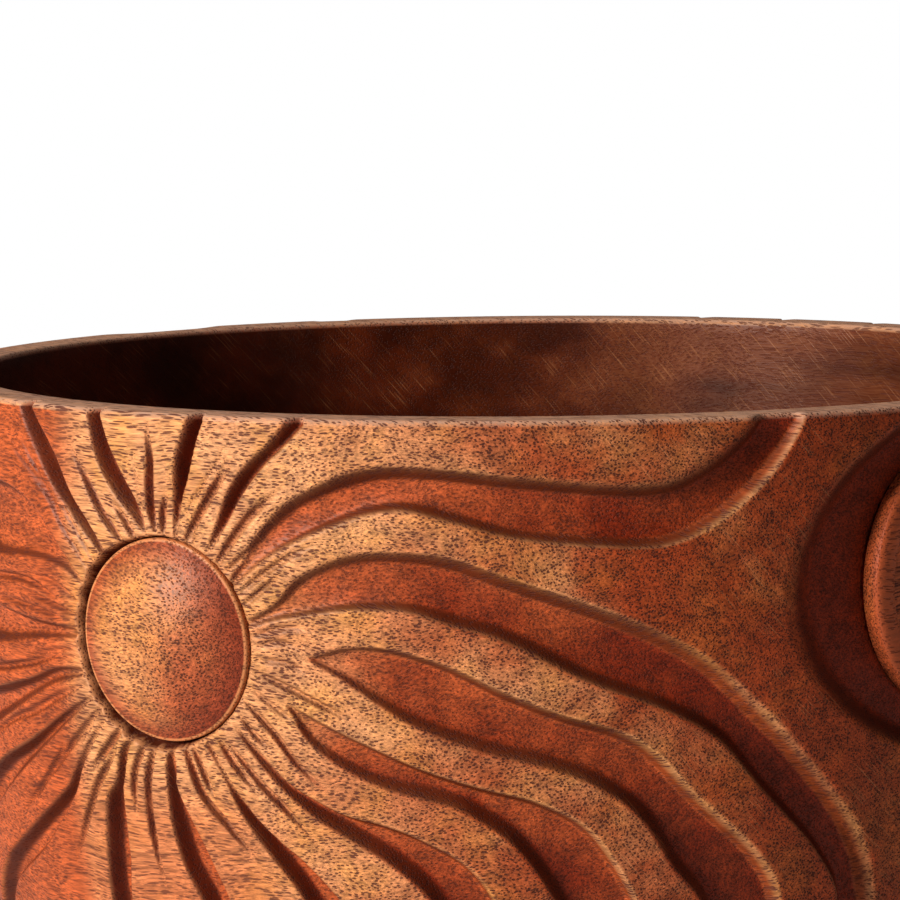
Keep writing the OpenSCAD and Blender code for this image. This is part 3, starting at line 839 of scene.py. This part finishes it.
GRAIN = (0.766, -0.643, 0.0)
carved_wood = wood("carved_wood_look", GRAIN, (0.62, 0.275, 0.115), (0.31, 0.046, 0.010),
                   (0.40, 0.078, 0.019), (0.19, 0.018, 0.003))
bowl.data.materials.append(carved_wood)
for node, disc in discs.items():
    half_turn = 180 if node in ("sun_disc_back", "medallion_left") else 0
    right_mm = 0 if node.startswith("sun") else MEDALLION_AT[0]
    bearing = math.radians(SUN_BEARING + half_turn) + right_mm / RIM_R
    across = (math.cos(bearing), math.sin(bearing), 0.0)
    if node.startswith("sun"):
        # the sun discs are cut a little across the grain
        outward = Vector((math.sin(bearing), -math.cos(bearing), 0.0))
        across = tuple((0.75 * Vector(across) + 0.45 * outward + Vector((0, 0, -0.35))).normalized())
        look = wood(node + "_look", across, (0.64, 0.270, 0.100), (0.36, 0.075, 0.024),
                    (0.33, 0.065, 0.020), (0.22, 0.034, 0.012), shift=0.013 * (1 + half_turn), gloss=0.40)
    else:
        look = wood(node + "_look", across, (0.46, 0.100, 0.034), (0.42, 0.082, 0.024),
                    (0.30, 0.050, 0.013), (0.24, 0.036, 0.009), shift=0.02 * (2 + half_turn))
    disc.data.materials.append(look)


# ---------------------------------------------------------------- felt pads
def felt_look():
    m = Nodes("felt_look")
    place = m.node("ShaderNodeTexCoord").outputs["Object"]
    fluff = m.noise(place, 1800.0, 4.0, 0.7)
    tufts = m.noise(place, 420.0, 3.0, 0.6)
    colour = m.mix(m.range(fluff, 0.3, 0.7), (0.035, 0.030, 0.027), (0.11, 0.095, 0.082))
    bump = m.node("ShaderNodeBump", Strength=0.8, Distance=0.0003,
                  Height=m.math("ADD", fluff, m.math("MULTIPLY", tufts, 0.6))).outputs["Normal"]
    return m.done(Base_Color=colour, Roughness=0.95, Normal=bump, Sheen_Weight=0.3, Sheen_Roughness=0.5)


felt = felt_look()


def felt_pad(node):
    """A punched felt disc: fuzzy edge, a little crushed where it bears."""
    low, high = (np.array(c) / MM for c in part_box(node))
    middle, r, h = (low + high) / 2, (high[0] - low[0]) / 2, high[2] - low[2]
    rng = np.random.default_rng(int(abs(middle[0] * 7 + middle[1] * 3)))
    shell = ShellMesh()
    steps = 96
    angles = np.arange(steps) * 2 * math.pi / steps
    outline = [(r * k / 9, h) for k in range(1, 9)]
    outline += [(r - 0.25, h), (r - 0.08, h - 0.12), (r - 0.02, h * 0.72), (r, h * 0.5),
                (r - 0.03, h * 0.3), (r - 0.12, 0.12), (r - 0.35, 0.0)]
    outline += [(r * k / 9, 0.0) for k in range(8, 0, -1)]
    last = None
    for radius, z in outline:
        fuzz = rng.uniform(-0.05, 0.0, steps) if radius > r - 0.3 else np.zeros(steps)
        rise = rng.uniform(-0.04, 0.0, steps) if z > 0.2 else np.zeros(steps)
        points = np.stack([middle[0] + np.cos(angles) * (radius + fuzz),
                           middle[1] + np.sin(angles) * (radius + fuzz), np.full(steps, z) + rise], -1)
        ring = shell.ring(points)
        if last is None:
            shell.cap(ring, (middle[0], middle[1], h), up=True)
        else:
            shell.join(ring, last)
        last = ring
    shell.cap(last, (middle[0], middle[1], 0.0), up=False)
    pad = shell.build(node + "_felt")
    pad.data.materials.append(felt)
    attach(pad, "root")
    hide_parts(node)


for node in ("felt_pad_front", "felt_pad_right", "felt_pad_back", "felt_pad_left"):
    felt_pad(node)

# ---------------------------------------------------------------- floor, light and camera
FLOOR_R = 1.6


def studio():
    """A pale floor, a soft world that the camera sees as white, and two light panels."""
    mesh = bpy.data.meshes.new("floor")
    around = [(FLOOR_R * math.cos(a), FLOOR_R * math.sin(a), 0.0)
              for a in np.linspace(0, 2 * math.pi, 97)[:-1]]
    mesh.from_pydata(around, [], [list(range(96))])
    floor = bpy.data.objects.new("floor", mesh)
    bpy.context.collection.objects.link(floor)
    m = Nodes("floor_look")
    grain = m.noise(m.node("ShaderNodeTexCoord").outputs["Object"], 60.0, 3.0, 0.5)
    floor_look = m.done(Base_Color=m.mix(grain, (0.80, 0.795, 0.785), (0.84, 0.835, 0.83)), Roughness=0.6)
    mesh.materials.append(floor_look)

    scene = bpy.context.scene
    world = bpy.data.worlds.new("studio")
    scene.world = world
    world.use_nodes = True
    tree = world.node_tree
    soft = tree.nodes["Background"]
    soft.inputs["Strength"].default_value = 0.075
    seen = tree.nodes.new("ShaderNodeBackground")
    seen.inputs["Color"].default_value = (1, 1, 1, 1)
    seen.inputs["Strength"].default_value = 1.0
    soft.inputs["Color"].default_value = (1, 0.94, 0.88, 1)
    path = tree.nodes.new("ShaderNodeLightPath")
    pick = tree.nodes.new("ShaderNodeMixShader")
    tree.links.new(path.outputs["Is Camera Ray"], pick.inputs["Fac"])
    tree.links.new(soft.outputs[0], pick.inputs[1])
    tree.links.new(seen.outputs[0], pick.inputs[2])
    tree.links.new(pick.outputs[0], tree.nodes["World Output"].inputs["Surface"])

    def panel(name, place, aim, size, power, colour=(1, 1, 1)):
        light = bpy.data.lights.new(name, "AREA")
        light.shape, light.size, light.size_y = "RECTANGLE", size[0], size[1]
        light.energy, light.color = power, colour
        ob = bpy.data.objects.new(name, light)
        ob.location = place
        ob.rotation_euler = (Vector(aim) - Vector(place)).to_track_quat("-Z", "Y").to_euler()
        bpy.context.collection.objects.link(ob)

    panel("key_panel", (-1.62, -1.16, 0.80), (0, -0.05, 0.09), (0.55, 0.55), 49, (1.0, 0.93, 0.86))
    panel("top_panel", (-0.3, 0.2, 1.6), (0, 0, 0.10), (1.2, 1.0), 5)
    scene.view_settings.view_transform = "Standard"


def main_camera():
    """The photograph's view: level with the rim and a little above it, close by, in a long lens."""
    yaw, pitch, roll = math.radians(1.04), math.radians(-6.165), math.radians(0.545)
    lens_mm = 172.4
    data = bpy.data.cameras.new("main_camera")
    data.lens, data.sensor_width = lens_mm, 36.0
    data.clip_start, data.clip_end = 0.01, 50.0
    camera = bpy.data.objects.new("main_camera", data)
    turn = (Matrix.Rotation(yaw, 4, "Z") @ Matrix.Rotation(math.pi / 2 + pitch, 4, "X")
            @ Matrix.Rotation(-roll, 4, "Z"))
    camera.matrix_world = Matrix.Translation((0, -0.900, 0.2186)) @ turn
    bpy.context.collection.objects.link(camera)
    bpy.context.scene.camera = camera


studio()
main_camera()
